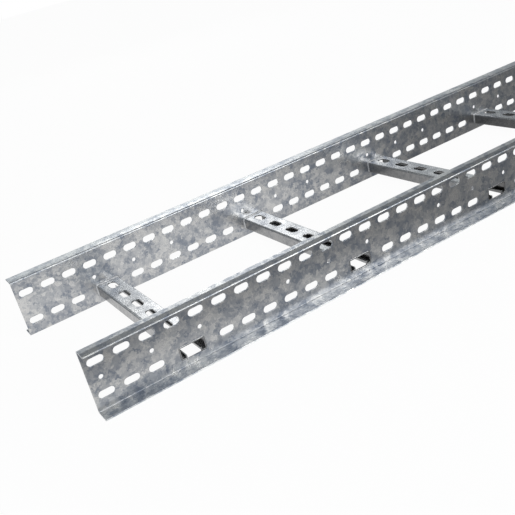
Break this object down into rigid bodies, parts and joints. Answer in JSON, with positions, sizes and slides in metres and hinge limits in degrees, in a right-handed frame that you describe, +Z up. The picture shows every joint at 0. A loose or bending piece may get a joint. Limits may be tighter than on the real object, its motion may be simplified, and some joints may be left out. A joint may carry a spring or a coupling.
{
  "type": "cable ladder section",
  "caption": "Straight cable ladder section: perforated channel side rails, flanges outwards, joined by slotted strut rungs set into their webs.",
  "frame": {"origin": "middle of the underside: centre of the length and width, on the plane of the rails' bottom flanges", "axes": "+X along the ladder, +Y across it towards the left rail, +Z up; the near end in the picture is at -X and the near rail is at -Y"},
  "size_m": [3, 0.35, 0.098],
  "materials": {
    "rail_steel": "galvanised, satin, with a faint spangle",
    "rung_steel": "galvanised, satin, a little brighter than the rails"
  },
  "bodies": {
    "root": {"side_rail_left": "rail_steel", "side_rail_right": "rail_steel", "rung_01": "rung_steel", "rung_02": "rung_steel", "rung_03": "rung_steel", "rung_04": "rung_steel", "rung_05": "rung_steel", "rung_06": "rung_steel", "rung_07": "rung_steel", "rung_08": "rung_steel", "rung_09": "rung_steel", "rung_10": "rung_steel"}
  },
  "joints": []
}
